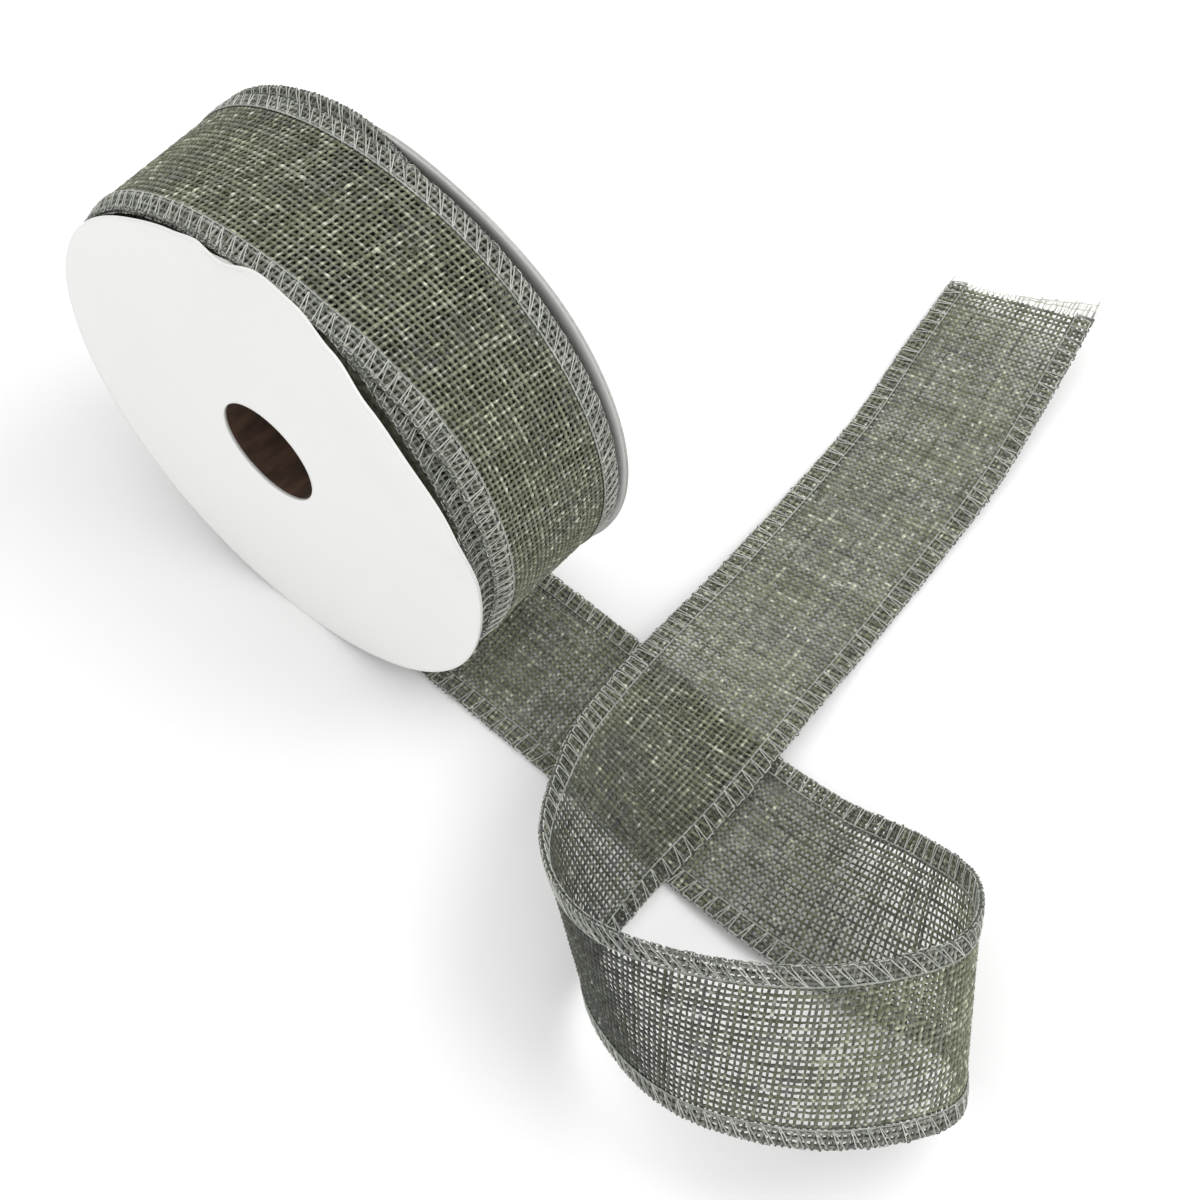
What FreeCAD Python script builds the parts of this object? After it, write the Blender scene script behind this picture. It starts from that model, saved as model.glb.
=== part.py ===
import FreeCAD, Part
import math
import os

# Spool of wired burlap ribbon standing on its two card flanges, with the free end of the ribbon
# laid out in a standing loop that crosses over itself. Millimetres.
# Origin at the centre of the hub bore, +Y along the spool's axis, +Z up.
# The ribbon leaves the roll at the bottom and runs towards +X.

# Spool
FLANGE_DIAMETER = 119.0
FLANGE_THICKNESS = 0.8
OVERALL_WIDTH = 45.4
BORE_DIAMETER = 25.4
CORE_WALL = 2.0

# Ribbon
RIBBON_WIDTH = 38.0
HEM_WIDTH = 4.4
WIRE_SIZE = 0.5
CLOTH_THICKNESS = 0.6
HEM_THICKNESS = 0.9
RIBBON_OFFSET = -0.5      # the roll lies nearer the -Y flange
WOUND_PITCH = 1.15        # thickness of one turn on the roll
ROLL_DIAMETER = 116.0

# Tab of tape that holds the first turn to the core
TAPE_THICKNESS = 0.2
TAPE_WIDTH = 19.0
TAPE_ANGLE = 90.0

FLANGE_RADIUS = FLANGE_DIAMETER / 2
BORE_RADIUS = BORE_DIAMETER / 2
CORE_RADIUS = BORE_RADIUS + CORE_WALL
ROLL_RADIUS = ROLL_DIAMETER / 2
ROLL_INNER_RADIUS = CORE_RADIUS + TAPE_THICKNESS
HALF_WIDTH = OVERALL_WIDTH / 2
HALF_RIBBON = RIBBON_WIDTH / 2
FLOOR = -FLANGE_RADIUS

# Route of the free ribbon: its centre line, and the direction across it from the edge on the
# -Y flange's side to the other edge. Each station is x, y, height of the centre line over the
# floor, bearing of the across direction from +X, and its rise over the horizontal in degrees.
TAIL_ROUTE = [
    (0, 2, 0.5, 90, 0),
    (50, 1, 0.5, 90, 0),
    (77, -0.5, 0.5, 90, 0),
    (104, -3, 1.2, 90, 1),
    (128, -4, 4.5, 90, 7),
    (150, -4.5, 11, 98, 28),
    (172, -8, 22, 118, 48),
    (182, -25, 36, 130, 50),
    (169, -47, 42, 132, 52),
    (146, -59, 38, 136, 58),
    (124, -60, 31, 154, 62),
    (104, -49, 22.5, 158, 62),
    (95, -27, 17.5, 174, 49),
    (91, -2, 13, 184, 26),
    (87.5, 22, 8, 188, 11),
    (84.5, 48, 3, 188, 5),
    (80, 98, 1.5, 189, -2),
    (75.5, 124, 3, 190, -6),
    (71.5, 148, 6, 189, -14),
]
SECTION_SPACING = 5.0


def ring(outer_radius, inner_radius, y_low, y_high):
    """Flat ring about the spool's axis, from y_low to y_high."""
    start = FreeCAD.Vector(0, y_low, 0)
    along = FreeCAD.Vector(0, 1, 0)
    outer = Part.makeCylinder(outer_radius, y_high - y_low, start, along)
    inner = Part.makeCylinder(inner_radius, y_high - y_low, start, along)
    return outer.cut(inner)


def core_tape():
    """Curved tab of tape, flat against the outside of the core."""
    y_low = RIBBON_OFFSET - TAPE_WIDTH / 2
    whole = ring(ROLL_INNER_RADIUS, CORE_RADIUS, y_low, y_low + TAPE_WIDTH)
    corner = FreeCAD.Vector(0, y_low, 0)
    along = FreeCAD.Vector(0, 1, 0)
    sector = Part.makeCylinder(2 * CORE_RADIUS, TAPE_WIDTH, corner, along, TAPE_ANGLE)
    return whole.common(sector)


def half_turn(radius, centre_x, upper):
    """Half circle about (centre_x, 0) in the XZ plane, over or under the axis."""
    side = 1 if upper else -1
    start = FreeCAD.Vector(centre_x - side * radius, 0, 0)
    middle = FreeCAD.Vector(centre_x, 0, side * radius)
    end = FreeCAD.Vector(centre_x + side * radius, 0, 0)
    return Part.Arc(start, middle, end).toShape()


def spiral_edges(first_radius, count):
    """Tangent half circles that grow by one turn's thickness every full turn."""
    edges = []
    centre_x = 0.0
    for index in range(count):
        radius = first_radius + index * WOUND_PITCH / 2
        upper = index % 2 == 0
        edges.append(half_turn(radius, centre_x, upper))
        centre_x += -WOUND_PITCH / 2 if upper else WOUND_PITCH / 2
    return edges


def wound_wire(y_low):
    """Edge wire inside the roll: one spiral of all the turns, as a thin flat coil."""
    first = ROLL_INNER_RADIUS + (WOUND_PITCH - WIRE_SIZE) / 2
    count = int((ROLL_RADIUS - first - WIRE_SIZE) / (WOUND_PITCH / 2))
    inner = spiral_edges(first, count)
    outer = spiral_edges(first + WIRE_SIZE, count)
    start_cap = Part.makeLine(inner[0].Vertexes[0].Point, outer[0].Vertexes[0].Point)
    end_cap = Part.makeLine(inner[-1].Vertexes[-1].Point, outer[-1].Vertexes[-1].Point)
    outline = Part.Wire(Part.__sortEdges__(inner + outer + [start_cap, end_cap]))
    coil = Part.Face(outline).extrude(FreeCAD.Vector(0, WIRE_SIZE, 0))
    coil.translate(FreeCAD.Vector(0, y_low, 0))
    return coil


def route_knots(rows):
    """Distance along the route at each station, measured straight between stations."""
    knots = [0.0]
    for before, after in zip(rows, rows[1:]):
        knots.append(knots[-1] + math.dist(before[:3], after[:3]))
    return knots


def slopes(rows, knots):
    """Smooth slope of every column at every station."""
    result = []
    last = len(rows) - 1
    for index in range(len(rows)):
        low = max(index - 1, 0)
        high = min(index + 1, last)
        span = knots[high] - knots[low]
        result.append([(b - a) / span for a, b in zip(rows[low], rows[high])])
    return result


def route_point(rows, knots, rates, distance):
    """Cubic through the stations, evaluated at a distance along the route."""
    index = max(i for i in range(len(knots) - 1) if knots[i] <= distance + 1e-9)
    span = knots[index + 1] - knots[index]
    t = (distance - knots[index]) / span
    h00 = 2 * t**3 - 3 * t**2 + 1
    h10 = t**3 - 2 * t**2 + t
    h01 = 3 * t**2 - 2 * t**3
    h11 = t**3 - t**2
    values = []
    for column in range(5):
        start = h00 * rows[index][column] + h10 * span * rates[index][column]
        end = h01 * rows[index + 1][column] + h11 * span * rates[index + 1][column]
        values.append(start + end)
    return values


def tail_frames():
    """Centre, across and face directions of the ribbon, at even distances along its route."""
    knots = route_knots(TAIL_ROUTE)
    rates = slopes(TAIL_ROUTE, knots)
    count = round(knots[-1] / SECTION_SPACING)
    frames = []
    for index in range(count + 1):
        distance = knots[-1] * index / count
        x, y, height, bearing, rise = route_point(TAIL_ROUTE, knots, rates, distance)
        bearing = math.radians(bearing)
        rise = math.radians(rise)
        centre = FreeCAD.Vector(x, y, FLOOR + height)
        across = FreeCAD.Vector(math.cos(bearing) * math.cos(rise),
                                math.sin(bearing) * math.cos(rise), math.sin(rise))
        frames.append([centre, across])
    for index, frame in enumerate(frames):
        before = frames[max(index - 1, 0)][0]
        after = frames[min(index + 1, count)][0]
        face = (after - before).cross(frame[1])
        face.normalize()
        frame.append(face)
    return frames


def tail_strip(frames, across_low, across_high, thickness):
    """Closed strip of the free ribbon between two distances from its centre line."""
    sections = []
    for centre, across, face in frames:
        half = face * (thickness / 2)
        low = centre + across * across_low
        high = centre + across * across_high
        corners = [low - half, high - half, high + half, low + half]
        sections.append(Part.makePolygon(corners + corners[:1]))
    return Part.makeLoft(sections, True, True)


def edge_length(frames, distance_across):
    """Length of the line at a distance from the free ribbon's centre line."""
    points = [centre + across * distance_across for centre, across, face in frames]
    return sum((b - a).Length for a, b in zip(points, points[1:]))


def build_parts():
    """Every sub-part by its node name."""
    ribbon_low = RIBBON_OFFSET - HALF_RIBBON
    ribbon_high = RIBBON_OFFSET + HALF_RIBBON
    hem_low = ribbon_low + WIRE_SIZE
    hem_high = ribbon_high - WIRE_SIZE
    cloth_low = ribbon_low + HEM_WIDTH
    cloth_high = ribbon_high - HEM_WIDTH
    core_end = HALF_WIDTH - FLANGE_THICKNESS
    frames = tail_frames()
    hem_edge = HALF_RIBBON - WIRE_SIZE
    cloth_edge = HALF_RIBBON - HEM_WIDTH
    for name, place in (("-Y edge", -HALF_RIBBON), ("centre", 0), ("+Y edge", HALF_RIBBON)):
        print("free ribbon, length along its", name, round(edge_length(frames, place), 1))
    return {
        "near_flange": ring(FLANGE_RADIUS, BORE_RADIUS, -HALF_WIDTH, -core_end),
        "far_flange": ring(FLANGE_RADIUS, BORE_RADIUS, core_end, HALF_WIDTH),
        "core_tube": ring(CORE_RADIUS, BORE_RADIUS, -core_end, core_end),
        "core_tape": core_tape(),
        "wound_cloth": ring(ROLL_RADIUS, ROLL_INNER_RADIUS, cloth_low, cloth_high),
        "wound_edge_near": ring(ROLL_RADIUS, ROLL_INNER_RADIUS, hem_low, cloth_low),
        "wound_edge_far": ring(ROLL_RADIUS, ROLL_INNER_RADIUS, cloth_high, hem_high),
        "wound_wire_near": wound_wire(ribbon_low),
        "wound_wire_far": wound_wire(hem_high),
        "tail_cloth": tail_strip(frames, -cloth_edge, cloth_edge, CLOTH_THICKNESS),
        "tail_edge_near": tail_strip(frames, -hem_edge, -cloth_edge, HEM_THICKNESS),
        "tail_edge_far": tail_strip(frames, cloth_edge, hem_edge, HEM_THICKNESS),
        "tail_wire_near": tail_strip(frames, -HALF_RIBBON, -hem_edge, WIRE_SIZE),
        "tail_wire_far": tail_strip(frames, hem_edge, HALF_RIBBON, WIRE_SIZE),
    }


os.makedirs("parts", exist_ok=True)
for node, shape in build_parts().items():
    print(node, "valid" if shape.isValid() else "NOT VALID", round(shape.Volume, 1), "mm3")
    shape.exportStep("parts/" + node + ".step")
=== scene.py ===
import math

import bpy
import numpy as np
from mathutils import Matrix, Vector


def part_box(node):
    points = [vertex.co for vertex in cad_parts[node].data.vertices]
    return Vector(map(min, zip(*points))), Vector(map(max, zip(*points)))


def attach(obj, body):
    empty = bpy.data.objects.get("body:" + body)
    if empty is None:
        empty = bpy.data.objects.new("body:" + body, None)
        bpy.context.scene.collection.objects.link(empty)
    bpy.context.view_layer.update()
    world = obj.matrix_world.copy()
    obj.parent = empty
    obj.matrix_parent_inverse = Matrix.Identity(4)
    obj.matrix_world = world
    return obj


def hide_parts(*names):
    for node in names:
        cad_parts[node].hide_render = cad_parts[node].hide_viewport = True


# Looks of the burlap ribbon spool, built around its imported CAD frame. Metres.
# Origin at the hub bore's centre, +Y along the spool's axis, +Z up, floor under the flanges.

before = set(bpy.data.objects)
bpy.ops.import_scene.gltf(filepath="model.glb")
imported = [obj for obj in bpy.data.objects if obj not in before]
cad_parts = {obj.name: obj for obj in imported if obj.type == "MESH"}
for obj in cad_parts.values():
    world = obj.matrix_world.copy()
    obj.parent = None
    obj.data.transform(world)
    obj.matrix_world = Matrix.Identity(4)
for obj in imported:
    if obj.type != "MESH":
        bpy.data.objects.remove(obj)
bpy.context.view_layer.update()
MM = 0.001

# ---------------------------------------------------------------- sizes from the frame
flange_low, flange_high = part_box("near_flange")
far_low, far_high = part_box("far_flange")
core_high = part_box("core_tube")[1]
tape_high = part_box("core_tape")[1]

CORE_WALL = 2.0 * MM
FLOOR = flange_low.z
FLANGE_RADIUS = flange_high.z
BORE_RADIUS = core_high.z - CORE_WALL

# ---------------------------------------------------------------- sizes of the ribbon
WIDTH = 38.0 * MM
HALF = WIDTH / 2
HEM = 4.4 * MM
PITCH = 1.35 * MM           # between neighbouring yarns, both ways
HALF_PITCH = PITCH / 2
EDGE_YARNS = 14             # lengthwise yarns from the middle to either edge
FOLD_YARNS = 11             # and from the middle to the inner side of the folded hem
CLOTH_EDGE = EDGE_YARNS * PITCH
YARN_HALF_WIDTH = 0.33 * MM
YARN_HALF_THICKNESS = 0.22 * MM
CRIMP = 0.19 * MM           # how far a yarn rises over the ones that it crosses
FOLD_DROP = 0.45 * MM       # the folded-over hem layer, from the cloth's middle
STITCH = 3.2 * MM           # overlock stitch length
THREAD = 0.125 * MM         # overlock thread radius
WIRE = 0.25 * MM            # edge wire radius
HEM_LIFT = 0.15 * MM        # how far the hems sit towards the side that isn't folded
TAIL_LIFT = 0.25 * MM       # the free ribbon's hems keep it this much over its CAD route
WOUND_PITCH = 1.15 * MM     # thickness of one turn on the roll

# The free ribbon's route, repeated from part.py: x, y, height over the floor in mm, then the
# bearing and the rise of the direction across it in degrees.
TAIL_ROUTE = [
    (0, 2, 0.5, 90, 0),
    (50, 1, 0.5, 90, 0),
    (77, -0.5, 0.5, 90, 0),
    (104, -3, 1.2, 90, 1),
    (128, -4, 4.5, 90, 7),
    (150, -4.5, 11, 98, 28),
    (172, -8, 22, 118, 48),
    (182, -25, 36, 130, 50),
    (169, -47, 42, 132, 52),
    (146, -59, 38, 136, 58),
    (124, -60, 31, 154, 62),
    (104, -49, 22.5, 158, 62),
    (95, -27, 17.5, 174, 49),
    (91, -2, 13, 184, 26),
    (87.5, 22, 8, 188, 11),
    (84.5, 48, 3, 188, 5),
    (80, 98, 1.5, 189, -2),
    (75.5, 124, 3, 190, -6),
    (71.5, 148, 6, 189, -14),
]
ROUTE_SPACING = 0.5         # mm between points of the route's curve
TURN_POINTS = 1441          # points round one turn on the roll

rng = np.random.default_rng(38)


# ---------------------------------------------------------------- surfaces that cloth follows
# A place on a ribbon is s along it, v across it from its centre line and h off its surface.
class Strip:
    """A ribbon's surface: a centre line and, at each point of it, the direction across. rise and
    slide, where they are set, move the cloth off the surface and across it."""

    def __init__(self, centre, across, start=0.0):
        steps = np.linalg.norm(np.diff(centre, axis=0), axis=1)
        self.s = start + np.concatenate([[0], np.cumsum(steps)])
        self.centre = centre
        self.across = across
        self.along = np.gradient(centre, self.s, axis=0)
        self.turn = np.gradient(across, self.s, axis=0)
        self.rise = None
        self.slide = None

    def at(self, s, v, h=0.0):
        """Points at distance s along, v across and h off the surface, with their directions."""
        s, v, h = np.broadcast_arrays(s, v, h)
        if self.rise is not None:
            h = h + self.rise(s, v)
            v = v + self.slide(s, v)
        tables = (self.centre, self.across, self.along, self.turn)
        centre, across, along, turn = (
            np.stack([np.interp(s, self.s, table[:, k]) for k in range(3)], -1) for table in tables)
        beyond = s - np.clip(s, self.s[0], self.s[-1])
        tangent = along + v[..., None] * turn
        tangent /= np.linalg.norm(tangent, axis=-1, keepdims=True)
        across = across / np.linalg.norm(across, axis=-1, keepdims=True)
        face = np.cross(tangent, across)
        face /= np.linalg.norm(face, axis=-1, keepdims=True)
        place = centre + across * v[..., None] + face * h[..., None] + tangent * beyond[..., None]
        return place, tangent, across, face


def route_table(rows, spacing):
    """Cubic through the stations, with each station's slope from its neighbours."""
    rows = np.array(rows, float)
    steps = np.linalg.norm(np.diff(rows[:, :3], axis=0), axis=1)
    knots = np.concatenate([[0], np.cumsum(steps)])
    last = len(rows) - 1
    low = np.maximum(np.arange(len(rows)) - 1, 0)
    high = np.minimum(np.arange(len(rows)) + 1, last)
    rates = (rows[high] - rows[low]) / (knots[high] - knots[low])[:, None]
    distance = np.linspace(0, knots[-1], int(knots[-1] / spacing) + 1)
    i = np.clip(np.searchsorted(knots, distance, side="right") - 1, 0, last - 1)
    span = (knots[i + 1] - knots[i])[:, None]
    t = (distance - knots[i])[:, None] / span
    return ((2 * t**3 - 3 * t**2 + 1) * rows[i] + (t**3 - 2 * t**2 + t) * span * rates[i]
            + (3 * t**2 - 2 * t**3) * rows[i + 1] + (t**3 - t**2) * span * rates[i + 1])


def tail_strip():
    """The free ribbon's surface."""
    table = route_table(TAIL_ROUTE, ROUTE_SPACING)
    bearing = np.radians(table[:, 3])
    rise = np.radians(table[:, 4])
    across = np.stack([np.cos(bearing) * np.cos(rise), np.sin(bearing) * np.cos(rise),
                       np.sin(rise)], 1)
    centre = table[:, :3] * MM
    centre[:, 2] += FLOOR + TAIL_LIFT
    return Strip(centre, across)


def roll_strip(radius_at, shift_at, rise_at, slide_at):
    """One turn of the roll, in the order of the ribbon: it ends at s = 0 under the axis."""
    angle = np.linspace(2 * math.pi, 0, TURN_POINTS)      # from the bottom towards -X and over
    radius = radius_at(angle)
    centre = np.stack([-radius * np.sin(angle), shift_at(angle), -radius * np.cos(angle)], 1)
    across = np.tile([0.0, 1.0, 0.0], (len(angle), 1))
    length = np.linalg.norm(np.diff(centre, axis=0), axis=1).sum()
    strip = Strip(centre, across, start=-length)
    strip.rise = lambda s, v: rise_at(np.interp(s, strip.s, angle), v)
    strip.slide = lambda s, v: slide_at(np.interp(s, strip.s, angle), v)
    return strip


# ---------------------------------------------------------------- noise along a yarn
def ease(x):
    """From 0 to 1 with a soft start and end."""
    x = np.clip(x, 0, 1)
    return x * x * (3 - 2 * x)


def drift(count, n, length, size):
    """Smooth random values at n points along each of count yarns, one row each; size is how far
    apart along the yarn the values are independent."""
    spans = max(int(round(length / size)), 1)
    knots = rng.normal(size=(count, spans + 3))
    x = np.linspace(0, spans, n)
    i = np.minimum(x.astype(int), spans - 1)
    t = ease(x - i)
    return knots[:, i + 1] * (1 - t) + knots[:, i + 2] * t


# ---------------------------------------------------------------- tubes into meshes
class Tubes:
    """Collects tubes of yarn, thread and wire, and makes one mesh of them."""

    def __init__(self):
        self.points = []
        self.quads = []
        self.caps = []
        self.tones = []
        self.count = 0

    def add(self, centre, side, up, half_width, half_thickness, tone, sides=6):
        """Adds m tubes of n sections each. centre, side and up are (m, n, 3), the half sizes
        broadcast to (m, n), and tone is light-to-dark and olive-to-slate for each section."""
        m, n = centre.shape[:2]
        half_width = np.broadcast_to(half_width, (m, n))
        half_thickness = np.broadcast_to(half_thickness, (m, n))
        turn = (np.arange(sides) + 0.5) * 2 * math.pi / sides
        sideways = half_width[..., None] * np.cos(turn)
        upwards = half_thickness[..., None] * np.sin(turn)
        ring = (centre[:, :, None] + side[:, :, None] * sideways[..., None]
                + up[:, :, None] * upwards[..., None])
        index = self.count + np.arange(m * n * sides).reshape(m, n, sides)
        beside = np.roll(index, -1, axis=2)
        quads = np.stack([index[:, :-1], beside[:, :-1], beside[:, 1:], index[:, 1:]], -1)
        first = index[:, 0]
        last = index[:, -1]
        caps = []
        for k in range(1, sides - 2, 2):
            caps.append(first[:, [0, k + 2, k + 1, k]])
            caps.append(last[:, [0, k, k + 1, k + 2]])
        self.points.append(ring.reshape(-1, 3))
        self.quads.append(quads.reshape(-1, 4))
        self.caps.append(np.concatenate(caps))
        self.tones.append(np.broadcast_to(tone[:, :, None, :], (m, n, sides, 2)).reshape(-1, 2))
        self.count += m * n * sides

    def build(self, name, material):
        """One mesh of all the tubes, smooth along them and flat at their ends."""
        points = np.concatenate(self.points)
        quads = np.concatenate(self.quads)
        caps = np.concatenate(self.caps)
        tones = np.concatenate(self.tones)
        smooth = np.concatenate([np.ones(len(quads), bool), np.zeros(len(caps), bool)])
        colour = np.ones((len(points), 4), np.float32)
        colour[:, :2] = np.clip(tones, 0, 1)
        return make_mesh(name, points, np.concatenate([quads, caps]), material, smooth, colour)


def make_mesh(name, points, quads, material, smooth=None, colour=None):
    """Object from arrays of points and four-cornered faces, with a tone for each point."""
    mesh = bpy.data.meshes.new(name)
    mesh.vertices.add(len(points))
    mesh.vertices.foreach_set("co", np.ascontiguousarray(points, np.float32).ravel())
    mesh.loops.add(quads.size)
    mesh.loops.foreach_set("vertex_index", np.ascontiguousarray(quads, np.int32).ravel())
    mesh.polygons.add(len(quads))
    mesh.polygons.foreach_set("loop_start", np.arange(0, quads.size, quads.shape[1], dtype=np.int32))
    if smooth is None:
        smooth = np.ones(len(quads), bool)
    mesh.polygons.foreach_set("use_smooth", smooth)
    mesh.update(calc_edges=True)
    mesh.validate()
    if colour is not None:
        layer = mesh.color_attributes.new("tone", "FLOAT_COLOR", "POINT")
        layer.data.foreach_set("color", colour.ravel())
    mesh.materials.append(material)
    piece = bpy.data.objects.new(name, mesh)
    bpy.context.collection.objects.link(piece)
    return piece


# ---------------------------------------------------------------- materials
def linear(value):
    """Linear light of one display value from 0 to 255."""
    value /= 255
    return value / 12.92 if value <= 0.04045 else ((value + 0.055) / 1.055) ** 2.4


def srgb(red, green, blue):
    return (linear(red), linear(green), linear(blue), 1)


def shader(name, roughness, **sockets):
    """New material; each further keyword is a socket of its shader."""
    material = bpy.data.materials.new(name)
    material.use_nodes = True
    nodes, links = material.node_tree.nodes, material.node_tree.links
    bsdf = nodes["Principled BSDF"]
    bsdf.inputs["Roughness"].default_value = roughness
    for key, value in sockets.items():
        bsdf.inputs[key.replace("_", " ")].default_value = value
    return material, nodes, links, bsdf


def noise(nodes, links, scale, detail, stretch=None):
    """Noise in the piece's own coordinates, finer where the scale is larger."""
    place = nodes.new("ShaderNodeTexCoord")
    texture = nodes.new("ShaderNodeTexNoise")
    texture.inputs["Scale"].default_value = scale
    texture.inputs["Detail"].default_value = detail
    if stretch:
        mapping = nodes.new("ShaderNodeMapping")
        mapping.inputs["Scale"].default_value = stretch
        links.new(place.outputs["Object"], mapping.inputs["Vector"])
        links.new(mapping.outputs["Vector"], texture.inputs["Vector"])
    else:
        links.new(place.outputs["Object"], texture.inputs["Vector"])
    return texture.outputs["Fac"]


def ramp(nodes, links, value, stops):
    """Colour from a value, through stops of (position, colour)."""
    node = nodes.new("ShaderNodeValToRGB")
    elements = node.color_ramp.elements
    while len(elements) < len(stops):
        elements.new(0.5)
    for element, (position, colour) in zip(elements, stops):
        element.position = position
        element.color = colour
    links.new(value, node.inputs["Fac"])
    return node.outputs["Color"]


def mix(nodes, links, factor, a, b, blend="MIX"):
    """Blend of two colours; each input is a socket or a plain value."""
    node = nodes.new("ShaderNodeMix")
    node.data_type = "RGBA"
    node.blend_type = blend
    for value, socket in ((factor, node.inputs[0]), (a, node.inputs[6]), (b, node.inputs[7])):
        if isinstance(value, bpy.types.NodeSocket):
            links.new(value, socket)
        else:
            socket.default_value = value
    return node.outputs[2]


def bump(nodes, links, bsdf, height, distance, strength=1.0):
    """Raises the surface by a value, up to a distance in metres."""
    node = nodes.new("ShaderNodeBump")
    node.inputs["Distance"].default_value = distance
    node.inputs["Strength"].default_value = strength
    links.new(height, node.inputs["Height"])
    links.new(node.outputs["Normal"], bsdf.inputs["Normal"])


def yarn_material(name, stops, slate_stops, roughness=0.85, fibre=2600.0):
    """Heathered yarn: the first tone channel is light to dark, the second olive to slate."""
    material, nodes, links, bsdf = shader(name, roughness, Sheen_Weight=0.08, Sheen_Roughness=0.6,
                                          Specular_IOR_Level=0.2)
    tone = nodes.new("ShaderNodeAttribute")
    tone.attribute_name = "tone"
    split = nodes.new("ShaderNodeSeparateColor")
    links.new(tone.outputs["Color"], split.inputs["Color"])
    base = ramp(nodes, links, split.outputs["Red"], stops)
    slate = ramp(nodes, links, split.outputs["Red"], slate_stops)
    colour = mix(nodes, links, split.outputs["Green"], base, slate)
    fuzz = noise(nodes, links, fibre, 2.0)
    fleck = ramp(nodes, links, fuzz, [(0.3, (0.72, 0.72, 0.72, 1)), (0.7, (1.25, 1.25, 1.25, 1))])
    links.new(mix(nodes, links, 1.0, colour, fleck, "MULTIPLY"), bsdf.inputs["Base Color"])
    bump(nodes, links, bsdf, fuzz, 0.00012, 0.7)
    return material


burlap = yarn_material(
    "burlap yarn",
    [(0.0, srgb(54, 56, 40)), (0.35, srgb(100, 103, 83)), (0.6, srgb(136, 139, 117)),
     (1.0, srgb(214, 215, 194))],
    [(0.0, srgb(52, 54, 52)), (0.35, srgb(90, 93, 89)), (0.6, srgb(122, 125, 119)),
     (1.0, srgb(196, 198, 190))])
hem_cloth = yarn_material(
    "hem cloth",
    [(0.0, srgb(62, 64, 56)), (0.5, srgb(112, 114, 104)), (1.0, srgb(178, 180, 168))],
    [(0.0, srgb(60, 62, 60)), (0.5, srgb(108, 110, 106)), (1.0, srgb(170, 172, 167))])
thread = yarn_material(
    "overlock thread",
    [(0.0, srgb(108, 111, 104)), (0.5, srgb(156, 159, 150)), (1.0, srgb(200, 202, 192))],
    [(0.0, srgb(104, 108, 106)), (0.5, srgb(150, 154, 150)), (1.0, srgb(194, 197, 192))],
    roughness=0.6, fibre=4200.0)
wire = yarn_material(
    "edge wire",
    [(0.0, srgb(84, 87, 84)), (1.0, srgb(128, 131, 127))],
    [(0.0, srgb(84, 87, 84)), (1.0, srgb(128, 131, 127))],
    roughness=0.5, fibre=5200.0)


# ---------------------------------------------------------------- cloth
YARN_SPREAD = 0.05          # of tone, between one yarn and the next
CREST_PAINTED_HIGHLIGHT = 0.13           # painted highlight: where a yarn crosses over another it is lighter than its own tone
CREST_HIGHLIGHT_SPREAD = 0.12         # how much the painted highlight varies, of tone, between one crossing and the next
DIP_PAINTED_SHADE = -0.15            # painted shade: between its crossings, where a yarn dips under another, it is darker
FLECK_SHARE = 0.07          # share of the crossings that are nearly white
SLATE_SHARE = 0.16          # share of slate in the plainest stretches

# How far the crosswise yarns run askew, against the distance along the ribbon in metres
SKEW_PLACES = (0, 0.10, 0.20, 0.33, 0.40, 0.50)
SKEW = (0.12, 0.10, 0.19, 0.19, 0.08, 0.0)


def tone_map(count, n, length, base, patch, crest):
    """Light-to-dark and olive-to-slate values at n points along each yarn, with a painted highlight on
    its crests and painted shade in the dips between them.
    """
    light = (base + rng.normal(0, YARN_SPREAD, (count, 1))
             + 0.045 * drift(count, n, length, 5 * MM)
             + 0.06 * drift(count, n, length, 1.7 * MM))
    # painted highlight where the yarn crosses over, painted shade where it dips under
    light = light + np.where(crest, CREST_PAINTED_HIGHLIGHT + rng.normal(0, CREST_HIGHLIGHT_SPREAD, (count, n)), DIP_PAINTED_SHADE)
    fleck = ((rng.random((count, n)) < FLECK_SHARE) & crest) * rng.uniform(0.1, 0.36, (count, n))
    light = light + fleck
    light[:, 1:] += 0.5 * fleck[:, :-1]
    light[:, :-1] += 0.5 * fleck[:, 1:]
    slate = (SLATE_SHARE + patch + 0.24 * drift(count, n, length, 14 * MM)
             + rng.normal(0, 0.10, (count, 1)))
    return np.stack([light, np.clip(slate, 0, 1)], -1)


def patches(s, v):
    """Broad patches of slate, the same in both sets of yarns."""
    broad = np.sin(s * 2 * math.pi / (61 * MM) + 1.3) * np.sin(v * 2 * math.pi / (47 * MM) + s * 31)
    slanting = np.sin(s * 2 * math.pi / (23 * MM) + v * 90 + 0.4)
    return 0.12 * broad + 0.08 * slanting


def skewed(s, v):
    """The crosswise yarns run a little askew: ahead at the near edge, behind at the far one."""
    return s - np.interp(s, SKEW_PLACES, SKEW) * v


def lift_at(v):
    """The hems sit a little towards the inner face, where the cloth isn't folded."""
    return HEM_LIFT * ease((np.abs(v) - (HALF - HEM - 1 * MM)) / (1.5 * MM))


def uneven(count, n, length, stray, stray_size, slub, slub_size, spread):
    """How far each yarn strays and how thick it is, at n points along it."""
    wander = stray * drift(count, n, length, stray_size)
    thickness = 1 + slub * drift(count, n, length, slub_size) + rng.normal(0, spread, (count, 1))
    return wander, thickness


def no_painted_shade(s):
    """For cloth with no painted shade."""
    return 0 * s


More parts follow.
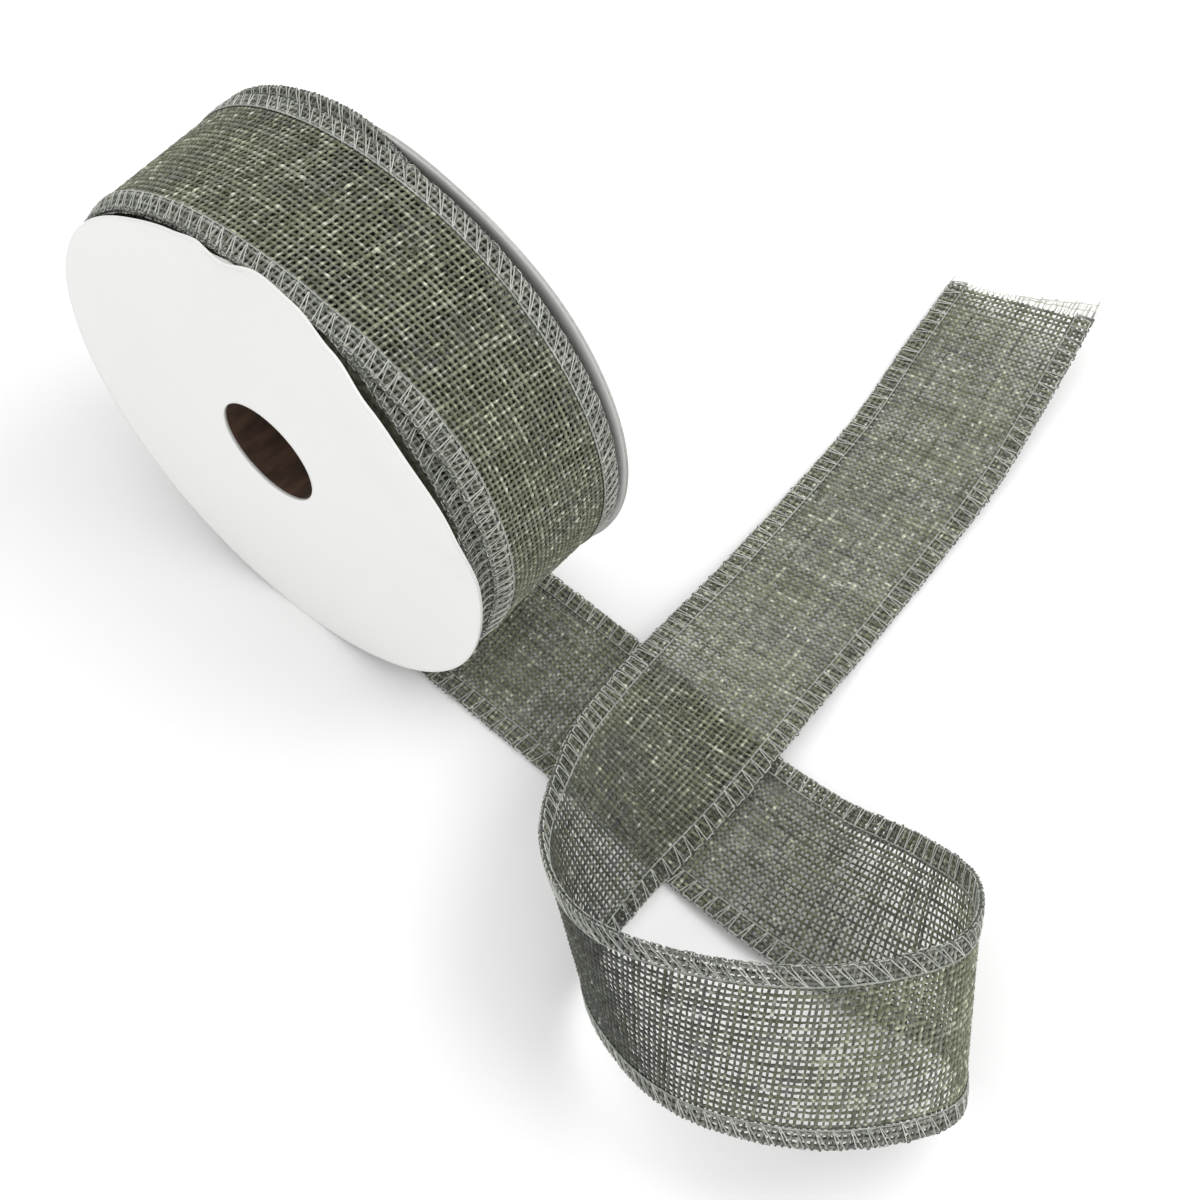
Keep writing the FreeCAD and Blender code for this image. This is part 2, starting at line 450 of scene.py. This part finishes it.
def weave(tubes, strip, start, end, low, high, drop=0.0, scale=1.0, base=0.5, phase=0, grey=0.0,
          sides=6, painted_shade=no_painted_shade):
    """Plain weave between two distances along the strip and two across it. drop sinks the whole
    layer, scale thins its yarns, phase is which of them start over the others, and painted_shade
    darkens stretches of it with painted shade and moves them towards slate."""
    crimp = CRIMP * scale
    half_width = YARN_HALF_WIDTH * scale
    half_thickness = YARN_HALF_THICKNESS * scale
    # lengthwise yarns
    columns = np.arange(round(low / PITCH), round(high / PITCH))
    count = len(columns)
    length = end - start
    n = int(round(length / HALF_PITCH)) + 1
    s = np.linspace(start, end, n)[None, :]
    v = ((columns + 0.5) * PITCH)[:, None]
    wander, thickness = uneven(count, n, length, 0.07 * MM, 17 * MM, 0.17, 7 * MM, 0.07)
    over = np.where((columns + phase) % 2 == 0, 1, -1)[:, None]
    h = crimp * over * np.cos(math.pi * s / PITCH) + drop
    place, _, across, face = strip.at(skewed(s, v), v + wander, h + lift_at(v))
    crest = np.round(s / HALF_PITCH).astype(int) % 2 == 0
    # painted shade darkens the tone and moves it towards slate
    tone = tone_map(count, n, length, base - 0.01 + painted_shade(s),
                    patches(s, v) + grey - 2 * painted_shade(s), crest)
    tubes.add(place, across, face, half_width * np.clip(thickness, 0.72, 1.4),
              half_thickness * np.clip(thickness, 0.8, 1.25), tone, sides)
    # crosswise yarns
    rows = np.arange(math.ceil(start / PITCH), math.floor(end / PITCH) + 1)
    count = len(rows)
    length = high - low
    n = int(round(length / HALF_PITCH)) + 1
    s = (rows * PITCH)[:, None]
    v = np.linspace(low, high, n)[None, :]
    wander, thickness = uneven(count, n, length, 0.09 * MM, 12 * MM, 0.19, 6 * MM, 0.1)
    over = np.where((rows + phase) % 2 == 0, 1, -1)[:, None]
    h = -crimp * over * np.sin(math.pi * v / PITCH) + drop
    place, tangent, _, face = strip.at(skewed(s, v) + wander, v, h + lift_at(v))
    crest = np.round(v / HALF_PITCH).astype(int) % 2 == 1
    # painted shade darkens the tone and moves it towards slate
    tone = tone_map(count, n, length, base + 0.02 + painted_shade(s),
                    patches(s, v) + grey - 2 * painted_shade(s), crest)
    tubes.add(place, -tangent, face, half_width * np.clip(thickness, 0.72, 1.45),
              half_thickness * np.clip(thickness, 0.8, 1.25), tone, sides)


def whole_steps(s):
    """The nearest half pitch on the zero side of s, where a lengthwise yarn may end."""
    return int(s / HALF_PITCH) * HALF_PITCH


# ---------------------------------------------------------------- hems, threads and wires
TONE_RUN = 9                # points of a thread that share one tone
NEEDLE_SPACING = 0.53 * MM  # between points of the needle line
WIRE_SPACING = 1.6 * MM     # between points of an edge wire

# Overlock stitches by (face, edge): how far a stitch leans, how far apart its two threads start
# and how far along the first one is, all as shares of a stitch
STITCH_SHAPES = {
    (-1, -1): (0.66, 0.36, 0.0),
    (-1, 1): (-0.9, 0.36, 0.0),
    (1, -1): (0.30, 0.30, 0.5),
    (1, 1): (0.30, 0.30, 0.5),
}


def line_tube(tubes, strip, s, v, h, radius, base, sides=6, spread=0.1):
    """One thread through points of the strip, with its section square to its path."""
    place, _, _, face = strip.at(s, v, h)
    path = np.gradient(place, axis=0)
    path /= np.linalg.norm(path, axis=-1, keepdims=True) + 1e-12
    side = np.cross(face, path)
    side /= np.linalg.norm(side, axis=-1, keepdims=True) + 1e-12
    up = np.cross(path, side)
    n = len(place)
    light = base + rng.normal(0, spread, n // TONE_RUN + 2)[np.arange(n) // TONE_RUN]
    slate = np.full(n, 0.5)
    tubes.add(place[None], side[None], up[None], radius, radius,
              np.stack([light, slate], -1)[None], sides)


def hem_height(face_side):
    """How far a hem's surface is from its middle; the fold's face, -1, has one more layer."""
    return FOLD_DROP + 0.25 * MM if face_side < 0 else 0.33 * MM


def overlock(tubes, strip, start, end, edge, face_side, base):
    """Slanted pairs of thread between the edge and the needle line, on one face of a hem. The
    thread runs on along the very edge between one pair and the next."""
    outer = HALF - 0.1 * MM
    inner = HALF - HEM + 0.3 * MM
    count = int((end - start) / STITCH)
    step = (end - start) / count
    lean, gap, phase = STITCH_SHAPES[face_side, edge]
    # one stitch: how far along it, how far in from the edge, how high over the cloth
    stitch = np.array([
        (0.0, 0.0, 0.55), (0.10 * lean, 0.1, 1.0), (0.5 * lean, 0.5, 1.05), (0.93 * lean, 0.94, 1.0),
        (lean, 1.02, 0.75), (lean + 0.05, 1.03, 0.75), (0.93 * lean + gap * 0.25, 0.94, 1.0),
        (0.5 * lean + gap * 0.6, 0.5, 1.12), (0.10 * lean + gap * 0.95, 0.1, 1.08), (gap, 0.0, 0.7),
        (gap + 0.2, -0.02, 0.5), (gap + 0.4, 0.02, 0.6), (gap + 0.58, -0.02, 0.5)])
    k = np.arange(count)[:, None]
    jitter = rng.normal(0, 0.04, (count, 1)) + 0.05 * np.sin(k * 0.37)
    sway = rng.normal(0, 0.06, (count, 1)) * stitch[None, :, 1]
    s = start + (k + stitch[None, :, 0] + jitter + sway + phase) * step
    across = stitch[None, :, 1] + rng.normal(0, 0.025, (count, 1))
    v = edge * (outer + (inner - outer) * across)
    h = face_side * (hem_height(face_side) * stitch[None, :, 2] + THREAD * 0.6) + HEM_LIFT
    h = np.broadcast_to(h, s.shape)
    index = np.arange(s.size)
    fine = np.linspace(0, s.size - 1, int(s.size * 1.6))
    s, v, h = (np.interp(fine, index, values.ravel()) for values in (s, v, h))
    line_tube(tubes, strip, s, v, h, THREAD, base, spread=0.15)


def needle_line(tubes, strip, start, end, edge, face_side, base):
    """Two threads twisted into one line of stitches along the inner side of the hem."""
    n = int((end - start) / NEEDLE_SPACING) + 1
    s = np.linspace(start, end, n)
    middle = edge * (HALF - HEM + 0.15 * MM + 0.08 * MM * np.sin(s / (31 * MM)))
    height = hem_height(face_side) - 0.01 * MM
    wave = 2 * math.pi * s / STITCH
    for turn in (1, -1):
        v = middle + turn * 0.13 * MM * np.sin(wave)
        h = face_side * (height + turn * 0.07 * MM * np.cos(wave)) + HEM_LIFT
        line_tube(tubes, strip, s, v, h, THREAD * 0.85, base - 0.2)


def edge_cord(tubes, strip, start, end, edge):
    """The ends of the crosswise yarns, bound round the very edge; they stand out like a comb."""
    count = int((end - start) / PITCH)
    n = 5
    s = (start + (np.arange(count) + 0.5) * (end - start) / count)[:, None]
    t = np.linspace(0, 1, n)[None, :]
    reach = 0.5 * MM * (1 + 0.25 * rng.normal(size=(count, 1)))
    angle = (t - 0.5) * math.radians(198)
    v = edge * (HALF - 0.4 * MM + reach * np.cos(angle))
    h = -0.12 * MM + 0.5 * MM * np.sin(angle)
    lean = (t - 0.5) * HALF_PITCH + rng.normal(0, 0.12, (count, 1)) * MM
    place, tangent, _, _ = strip.at(s + lean, v, h)
    path = np.gradient(place, axis=1)
    path /= np.linalg.norm(path, axis=-1, keepdims=True)
    up = np.cross(path, tangent)
    up /= np.linalg.norm(up, axis=-1, keepdims=True)
    light = np.broadcast_to(0.40 + rng.normal(0, 0.12, (count, 1)), (count, n))
    tone = np.stack([light, np.full((count, n), 0.5)], -1)
    tubes.add(place, tangent, up, 0.17 * MM, 0.13 * MM, tone)


def edge_wire(strip, name, start, end, edge):
    """The wire inside the very edge of a hem."""
    tubes = Tubes()
    n = int((end - start) / WIRE_SPACING) + 1
    s = np.linspace(start, end, n)
    line_tube(tubes, strip, s, edge * (HALF - 0.45 * MM), -0.1 * MM, WIRE, 0.5, 8)
    return tubes.build(name, wire)


def hems(strip, prefix, start, end, body, base):
    """The folded-over layer, stitching and wire of both edges; returns the pieces by edge."""
    made = []
    for edge, side_name in ((-1, "near"), (1, "far")):
        fold = Tubes()
        low, high = sorted((edge * EDGE_YARNS * PITCH, edge * FOLD_YARNS * PITCH))
        weave(fold, strip, start, end, low, high, drop=-FOLD_DROP, scale=0.88, base=base, phase=1,
              grey=0.2)
        stitches = Tubes()
        for face_side in (-1, 1):
            overlock(stitches, strip, start, end, edge, face_side, base + 0.18)
            needle_line(stitches, strip, start, end, edge, face_side, base + 0.18)
        edge_cord(fold, strip, start, end, edge)
        hem = fold.build(f"{prefix}_hem_{side_name}", hem_cloth)
        stitching = stitches.build(f"{prefix}_overlock_{side_name}", thread)
        wiring = edge_wire(strip, f"{prefix}_edge_wire_{side_name}", start, end, edge)
        for piece in (hem, stitching, wiring):
            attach(piece, body)
        made.append((hem, stitching, wiring))
    return made


# ---------------------------------------------------------------- the free ribbon
tail = tail_strip()
TAIL_LENGTH = tail.s[-1]
TAIL_PARTS = 3
cuts = [PITCH * (round(TAIL_LENGTH * k / TAIL_PARTS / PITCH) + 0.5) for k in range(TAIL_PARTS + 1)]
cuts[0] = -HALF_PITCH
cuts[-1] = whole_steps(TAIL_LENGTH - 1.0 * MM)


def loop_painted_shade(s):
    """Painted shade on the front of the loop, where the band faces away from the light; the foot of
    the loop is darkened less.
    """
    return (-0.12 * np.exp(-((s - 140 * MM) / (30 * MM)) ** 2)
            - 0.33 * np.exp(-((s - 288 * MM) / (46 * MM)) ** 2))


for k in range(TAIL_PARTS):
    cloth = Tubes()
    # the loop's front gets painted shade
    weave(cloth, tail, cuts[k], cuts[k + 1], -CLOTH_EDGE, CLOTH_EDGE, painted_shade=loop_painted_shade)
    piece = cloth.build(f"tail_weave_{k + 1}", burlap)
    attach(piece, "free_ribbon")
tail_hems = hems(tail, "tail", 0, TAIL_LENGTH - 0.5 * MM, "free_ribbon", 0.58)
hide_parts("tail_cloth")
for (hem, stitching, wiring), side_name in zip(tail_hems, ("near", "far")):
    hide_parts(f"tail_edge_{side_name}")
    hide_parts(f"tail_wire_{side_name}")


FRINGE_LENGTH = 4.6 * MM    # of the loose yarns at the near edge
STRAND = 0.085 * MM         # radius of a loose strand


def fringe_reach(v):
    """How far the loose yarns stand past the cut end, most at the near edge."""
    return FRINGE_LENGTH * np.clip((7 * MM - v) / (26 * MM), 0.08, 1)


def frayed_end(strip, length):
    """Fine loose lengthwise strands past the last crosswise yarn, and two crosswise ones that
    still hang among them."""
    tubes = Tubes()
    t = np.linspace(0, 1, 9)
    for column in range(-EDGE_YARNS, EDGE_YARNS):
        middle = (column + 0.5) * PITCH
        for strand in range(3 if middle < 2 * MM else 2):
            reach = fringe_reach(middle) * rng.uniform(0.75, 1.08)
            s = length - 1.3 * MM + (reach + 0.5 * MM) * t
            v = (middle + rng.uniform(-0.45, 0.45) * MM + rng.normal(0, 0.35) * MM * t**2
                 + rng.normal(0, 0.08) * MM * np.sin(t * 7))
            h = rng.normal(0.05, 0.1) * MM + rng.normal(0.2, 0.25) * MM * t**2
            line_tube(tubes, strip, s, v, np.maximum(h, -0.1 * MM),
                      STRAND * rng.uniform(0.7, 1.3), 0.9)
    for share in (0.45, 0.9):
        v = np.linspace(-18.6, 1.0, 40) * MM
        s = length - 1.0 * MM + fringe_reach(v) * share + 0.1 * MM * np.sin(v * 900 + share * 9)
        line_tube(tubes, strip, s, v, 0.12 * MM * np.sin(v * 2100) + 0.1 * MM, 0.09 * MM, 0.85)
    return tubes.build("tail_fringe", burlap)


fringe = frayed_end(tail, TAIL_LENGTH)
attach(fringe, "free_ribbon")


# ---------------------------------------------------------------- the roll
# Angles are round from the bottom of the roll towards -X and over.
OUTER_RADIUS = 57.9 * MM    # of the outer turn, where nothing lifts it
OUTER_PROUD = 0.5 * MM      # how much more it is where the free ribbon leaves it
BULGE = 2.3 * MM            # how far the outer turn stands off over the back of the roll
BULGE_ANGLE = math.radians(125)
BULGE_SPREAD = math.radians(45)
SECOND_DEPTH = 1.05 * MM    # of the second turn, under the outer one
SECOND_SLACK = 0.3 * MM     # how much deeper it lies under the bulge
OVER_RIM = 60.1 * MM        # radius of a ribbon's edge that lies over the far flange's rim


def bulge(angle):
    """Share of the bulge at an angle."""
    return np.exp(-((angle - BULGE_ANGLE) / BULGE_SPREAD) ** 2)


def outer_radius(angle):
    """It is a little proud where the free ribbon leaves it, and after the whole turn it lies one
    turn's thickness deeper."""
    proud = OUTER_PROUD * np.exp(-(angle / math.radians(20)) ** 2)
    under = WOUND_PITCH * ease((angle - math.radians(300)) / math.radians(60))
    uneven_winding = 0.12 * MM * np.sin(5 * angle + 2.0)
    return OUTER_RADIUS + BULGE * bulge(angle) + proud - under + uneven_winding


def outer_shift(angle):
    """The turn lies askew, nearer the far flange at the bottom than over the back."""
    return 0.85 * MM + 1.3 * MM * np.cos(angle + math.radians(38))


def by_angle(angle, table):
    """Millimetres from a short table of (degrees round from the bottom, value), eased between."""
    degrees, value = (np.array(column, float) for column in zip(*table))
    at = np.clip(np.degrees(angle), degrees[0], degrees[-1])
    i = np.clip(np.searchsorted(degrees, at, side="right") - 1, 0, len(degrees) - 2)
    share = ease((at - degrees[i]) / (degrees[i + 1] - degrees[i]))
    return (value[i] + (value[i + 1] - value[i]) * share) * MM


def on_near_half(v):
    """From 0 at the far half of a turn's cloth to 1 at its near edge."""
    return np.clip((10 * MM - v) / (24 * MM), 0, 1)


def outer_rise(angle, v):
    """The near edge droops, most in front, where the flange stands off from it."""
    droop = by_angle(angle, [(0, 0.8), (115, 0.8), (140, 1.5), (172, 1.5), (195, 0.6), (225, 1.4),
                             (280, 1.2), (300, 0.5), (360, 0)])
    return droop * ease((-v - 15.0 * MM) / (4.0 * MM))


def outer_slide(angle, v):
    """In front the near half of the cloth is bunched towards the middle; over the top it is
    spread towards the pushed-in flange."""
    near = by_angle(angle, [(0, 0), (130, 0), (150, -0.5), (183, -1.0), (197, -0.8), (212, 0.2),
                            (228, 1.2), (242, 1.8), (275, 1.6), (300, 0), (360, 0)])
    return near * on_near_half(v)


def second_radius(angle):
    """The turn below the outer one."""
    return outer_radius(angle) - SECOND_DEPTH - SECOND_SLACK * bulge(angle)


def second_shift(angle):
    """It lies askew under the outer turn: out at the far side over the back, and out at the
    near side in front."""
    return by_angle(angle, [(0, 0), (95, 0.5), (120, 2.2), (170, 2.2), (205, -0.3), (230, -0.9),
                            (280, -0.7), (330, 0), (360, 0)])


def second_rise(angle, v):
    """Where its far edge sticks out it climbs over the rim of the far flange. In front its near
    edge hangs well below the outer turn's."""
    out = ease((np.degrees(angle) - 100) / 15) * ease((190 - np.degrees(angle)) / 20)
    lift = np.maximum(OVER_RIM - second_radius(angle), 0)
    sunk = by_angle(angle, [(0, 0), (200, 0), (225, 1.6), (275, 1.4), (300, 0), (360, 0)])
    return sunk * ease((-v - 13.5 * MM) / (3.0 * MM)) - lift * out * ease((v - 15.0 * MM) / (3.0 * MM))


def second_slide(angle, v):
    """Over the back its near edge stays out beside the outer turn's."""
    near = by_angle(angle, [(0, 0), (105, 0), (130, -2.9), (178, -2.9), (198, 0), (360, 0)])
    return near * on_near_half(v)


def wound_turn(prefix, strip, base, hem_base, sides):
    """One whole turn on the roll: two sheets of cloth and the hems of both edges. base and
    hem_base are their tones, and sides is how many sides a yarn has."""
    middle = -PITCH * (round(-strip.s[0] / 2 / PITCH) + 0.5)
    for k, (start, end) in enumerate(((whole_steps(strip.s[0]), middle), (middle, 0.0))):
        cloth = Tubes()
        weave(cloth, strip, start, end, -CLOTH_EDGE, CLOTH_EDGE, base=base, sides=sides)
        piece = cloth.build(f"{prefix}_weave_{k + 1}", burlap)
        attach(piece, "spool")
    edges = hems(strip, prefix, strip.s[0], 0.0, "spool", hem_base)


outer_turn = roll_strip(outer_radius, outer_shift, outer_rise, outer_slide)
second_turn = roll_strip(second_radius, second_shift, second_rise, second_slide)
wound_turn("roll", outer_turn, 0.46, 0.65, 6)
# The second turn's hems get a much darker tone than the outer turn's, and its cloth a little darker:
# painted shade for the shade under the outer turn.
wound_turn("second_turn", second_turn, 0.44, 0.44, 4)


def lathe(name, profile, material, segments, ripple=None, tone=None):
    """Turns a profile of (radius, y) points about the spool's axis; tone is a value per point."""
    profile = np.array(profile, float)
    angle = np.arange(segments) * 2 * math.pi / segments
    radius = np.broadcast_to(profile[:, 0][:, None], (len(profile), segments))
    y = np.broadcast_to(profile[:, 1][:, None], (len(profile), segments))
    if ripple is not None:
        radius, y = ripple(radius, y, angle[None, :])
    points = np.stack([radius * np.cos(angle), y, radius * np.sin(angle)], -1)
    n = len(profile)
    index = np.arange(n * segments).reshape(n, segments)
    beside = np.roll(index, -1, axis=1)
    below = np.roll(index, -1, axis=0)
    quads = np.stack([index, beside, np.roll(beside, -1, axis=0), below], -1).reshape(-1, 4)
    points = points.reshape(-1, 3)
    # six times the volume inside, which is negative where the faces look inwards
    a, b, c, d = (points[quads[:, k]] for k in range(4))
    if (np.cross(b - a, c - a) * a).sum() + (np.cross(c - a, d - a) * a).sum() < 0:
        quads = quads[:, ::-1]
    colour = None
    if tone is not None:
        colour = np.ones((n * segments, 4), np.float32)
        colour[:, :3] = np.repeat(np.array(tone, np.float32), segments)[:, None]
    return make_mesh(name, points, quads, material, colour=colour)


def under_turns_painted_shade_material():
    """Turns under the outer ones, seen only through their weave: the same yarn coloured dark as
    painted shade, for the shade under the outer turns, with darker gaps.
    """
    material, nodes, links, bsdf = shader("under turns in painted shade", 0.9)
    grain = noise(nodes, links, 900.0, 2.0)
    # dark colours: painted shade under the outer turns
    colour = ramp(nodes, links, grain, [(0.35, srgb(54, 55, 44)), (0.65, srgb(100, 102, 85))])
    links.new(colour, bsdf.inputs["Base Color"])
    bump(nodes, links, bsdf, grain, 0.0004)
    return material


BODY_LOW = -19.7 * MM       # the sides of the turns under the two outer ones
BODY_HIGH = 18.0 * MM
BODY_RADIUS = 55.0 * MM
BODY_INNER_RADIUS = tape_high.z + 0.05 * MM


def turn_edge(radius, side, inward):
    """The rounded edge of one turn, outwards from its radius, at the side y."""
    return [(radius + share * WOUND_PITCH, side + inward * depth * MM)
            for share, depth in ((0.15, 0.5), (0.5, 0.05), (0.85, 0.5))]


def roll_body():
    """The turns under the two outer ones, as one ring with the edge of every turn at its sides,
    coloured dark as painted shade.
    """
    turns = int((BODY_RADIUS - BODY_INNER_RADIUS) / WOUND_PITCH)
    radii = [BODY_INNER_RADIUS + k * WOUND_PITCH for k in range(turns)]
    top = BODY_INNER_RADIUS + turns * WOUND_PITCH
    profile = [(BODY_INNER_RADIUS, BODY_HIGH), (BODY_INNER_RADIUS, BODY_LOW)]
    for radius in radii:
        profile += turn_edge(radius, BODY_LOW, 1)
    profile += [(top, BODY_LOW + 0.6 * MM), (top, BODY_LOW + HEM),
                (top - 0.3 * MM, BODY_LOW + HEM + 1 * MM),
                (top - 0.3 * MM, BODY_HIGH - HEM - 1 * MM),
                (top, BODY_HIGH - HEM), (top, BODY_HIGH - 0.6 * MM)]
    for radius in reversed(radii):
        profile += reversed(turn_edge(radius, BODY_HIGH, -1))
    return lathe("roll_turns", profile, under_turns_painted_shade_material(), 256)


roll_turns = roll_body()
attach(roll_turns, "spool")
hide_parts("wound_cloth", "wound_edge_near", "wound_edge_far",
            "wound_wire_near", "wound_wire_far")


# ---------------------------------------------------------------- flanges
def card_material():
    """White faces, and a grey cut edge where the tone is lower: partly raw board and partly painted
    shade.
    """
    material, nodes, links, bsdf = shader("white coated card", 0.32, Specular_IOR_Level=0.5,
                                          Coat_Weight=0.25, Coat_Roughness=0.15)
    cloud = noise(nodes, links, 9.0, 4.0)
    colour = ramp(nodes, links, cloud, [(0.3, srgb(224, 224, 222)), (0.7, srgb(230, 230, 228))])
    tone = nodes.new("ShaderNodeAttribute")
    tone.attribute_name = "tone"
    fibres = noise(nodes, links, 900.0, 3.0)
    # grey cut edge: partly raw board, partly painted shade
    board = ramp(nodes, links, fibres, [(0.3, srgb(150, 150, 146)), (0.7, srgb(172, 172, 168))])
    links.new(mix(nodes, links, tone.outputs["Fac"], board, colour), bsdf.inputs["Base Color"])
    bump(nodes, links, bsdf, noise(nodes, links, 160.0, 2.0), 0.00004, 0.4)
    return material


card = card_material()
CARD_ROUNDING = 0.12 * MM   # of the cut edges
FLANGE_RINGS = 46           # from the hub hole to the rim, so that the card can bend
LIP_ANGLE = 178             # degrees round from the bottom to the near flange's folded lip
LIP_SPREAD = 4.5
LIP_FOLD = 2.4 * MM         # how far the lip stands outwards
RIM_PULL = 0.6 * MM         # how much a bent rim draws in
FAR_BEND = 1.1 * MM         # how far the far flange's rim leans in over the top


def flange(name, outside, inside, wave, segments, edge_tone):
    """Card disc with a slightly rounded cut edge and a hub hole. outside and inside are the y of
    its faces, wave bends it, and edge_tone is 1 for a white cut edge and 0 for a grey one."""
    between = np.linspace(BORE_RADIUS, FLANGE_RADIUS, FLANGE_RINGS)[1:-1]
    inset = CARD_ROUNDING if outside > inside else -CARD_ROUNDING
    radii = [BORE_RADIUS + CARD_ROUNDING, *between, FLANGE_RADIUS - CARD_ROUNDING]
    profile = [(BORE_RADIUS, outside - inset)]
    profile += [(radius, outside) for radius in radii]
    profile += [(FLANGE_RADIUS, outside - inset), (FLANGE_RADIUS, inside + inset)]
    profile += [(radius, inside) for radius in reversed(radii)]
    profile += [(BORE_RADIUS, inside + inset)]
    tone = [edge_tone if radius in (BORE_RADIUS, FLANGE_RADIUS) else 1 for radius, _ in profile]
    return lathe(name, profile, card, segments, wave, tone)


def near_wave(radius, y, angle):
    """The rim is pushed in against the ribbon over the top and bent out in front. Between the
    pushed-in part and the back there is a crease, with a lip that is folded outwards."""
    share = radius / FLANGE_RADIUS
    degrees = (270 - np.degrees(angle)) % 360       # from the bottom towards -X and over
    bent = by_angle(np.radians(degrees), [(0, 0), (115, 0), (150, -0.7), (164, -0.2), (172, 0.7),
                                          (178, 1.9), (185, 2.1), (195, 1.8), (206, 0.3),
                                          (218, -1.5), (230, -1.9), (248, -1.1), (266, 0.5),
                                          (290, 0), (360, 0)])
    lip = np.exp(-((degrees - LIP_ANGLE) / LIP_SPREAD) ** 2) * ease((share - 0.945) / 0.055)
    return radius - RIM_PULL * lip, y + bent * ease((share - 0.55) / 0.4) - LIP_FOLD * lip


def far_wave(radius, y, angle):
    """Bent in towards the roll over the top, where the ribbon's edge lies over its rim."""
    share = radius / FLANGE_RADIUS
    degrees = (np.degrees(angle) + 180) % 360 - 180     # from +X over the top
    over = ease((degrees - 35) / 40) * ease((165 - degrees) / 20)
    tucked = ease((degrees - 86) / 10) * ease((160 - degrees) / 15)
    pull = RIM_PULL * tucked * ease((share - 0.9) / 0.1)
    return radius - pull, y - FAR_BEND * over * share**4


# The card is the same on both flanges. The far flange's grey cut edge and the near one's slightly grey
# edge are partly raw board and partly painted shade.
near_card = flange("near_flange_card", flange_low.y, flange_high.y, near_wave, 480, 0.8)
far_card = flange("far_flange_card", far_high.y, far_low.y, far_wave, 240, 0)
for piece, node in ((near_card, "near_flange"), (far_card, "far_flange")):
    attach(piece, "spool")
    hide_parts(node)


# ---------------------------------------------------------------- core and tape
def kraft_material():
    """Brown board with fibres along the tube."""
    material, nodes, links, bsdf = shader("kraft board", 0.8, Specular_IOR_Level=0.3)
    fibres = noise(nodes, links, 420.0, 4.0, stretch=(1, 0.25, 1))
    colour = ramp(nodes, links, fibres, [(0.3, srgb(56, 42, 33)), (0.7, srgb(90, 69, 54))])
    links.new(colour, bsdf.inputs["Base Color"])
    bump(nodes, links, bsdf, fibres, 0.00015, 0.6)
    return material


def tape_material():
    """Pale masking tape, a little cloudy."""
    material, nodes, links, bsdf = shader("tape", 0.35, Specular_IOR_Level=0.5)
    cloud = noise(nodes, links, 120.0, 2.0)
    colour = ramp(nodes, links, cloud, [(0.3, srgb(206, 190, 150)), (0.7, srgb(222, 208, 170))])
    links.new(colour, bsdf.inputs["Base Color"])
    return material


def finish_node(name, material):
    """Gives a CAD node that stays as it is its material."""
    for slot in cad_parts[name].material_slots:
        slot.material = material


finish_node("core_tube", kraft_material())
finish_node("core_tape", tape_material())


# ---------------------------------------------------------------- floor, light and camera
def floor_material():
    """Plain pale paper."""
    material, nodes, links, bsdf = shader("floor", 0.9, Specular_IOR_Level=0.1)
    cloud = noise(nodes, links, 3.0, 2.0)
    colour = ramp(nodes, links, cloud, [(0.3, (0.92, 0.92, 0.92, 1)), (0.7, (0.94, 0.94, 0.94, 1))])
    links.new(colour, bsdf.inputs["Base Color"])
    return material


FLOOR_REACH = 2.5
floor_corners = np.array([(x * FLOOR_REACH, y * FLOOR_REACH, FLOOR)
                          for x, y in ((-1, -1), (1, -1), (1, 1), (-1, 1))])
floor = make_mesh("floor", floor_corners, np.array([[0, 1, 2, 3]]), floor_material())

SKY_STRENGTH = 1.03
world = bpy.data.worlds.new("studio")
bpy.context.scene.world = world
world.use_nodes = True
background = world.node_tree.nodes["Background"]
background.inputs["Color"].default_value = (1, 1, 1, 1)
background.inputs["Strength"].default_value = SKY_STRENGTH

# The camera looks at TARGET from AZIMUTH round from -Y and ELEVATION over the floor
TARGET = Vector((49.5, 21.9, -58.2)) * MM
AZIMUTH = math.radians(44.6)
ELEVATION = math.radians(56.15)
DISTANCE = 0.6438
ROLL = math.radians(-3.75)
SENSOR = 36.0
LENS = 86.7


def toward(azimuth, elevation):
    """Unit vector from the target to a place at an azimuth, round from -Y, and an elevation."""
    return Vector((math.sin(azimuth) * math.cos(elevation), -math.cos(azimuth) * math.cos(elevation),
                   math.sin(elevation)))


def soft_light(name, azimuth, elevation, distance, size, power):
    """Round area light that looks at the target."""
    data = bpy.data.lights.new(name, "AREA")
    data.shape = "DISK"
    data.size = size
    data.energy = power
    lamp = bpy.data.objects.new(name, data)
    bpy.context.collection.objects.link(lamp)
    back = toward(math.radians(azimuth), math.radians(elevation))
    lamp.location = TARGET + back * distance
    lamp.rotation_euler = back.to_track_quat("Z", "Y").to_euler()


soft_light("key", 132, 55, 1.6, 1.0, 8.0)
soft_light("fill", 25, 50, 1.5, 1.0, 0.8)

camera_data = bpy.data.cameras.new("camera")
camera_data.sensor_width = SENSOR
camera_data.lens = LENS
camera_data.clip_start = 0.01
camera_data.clip_end = 20
camera = bpy.data.objects.new("camera", camera_data)
bpy.context.collection.objects.link(camera)
back = toward(AZIMUTH, ELEVATION)
right = Vector((0, 0, 1)).cross(back).normalized()
up = back.cross(right)
right_rolled = right * math.cos(ROLL) + up * math.sin(ROLL)
up_rolled = up * math.cos(ROLL) - right * math.sin(ROLL)
turned = Matrix((right_rolled, up_rolled, back)).transposed()
camera.matrix_world = Matrix.Translation(TARGET + back * DISTANCE) @ turned.to_4x4()
bpy.context.scene.camera = camera
bpy.context.scene.view_settings.view_transform = "Standard"
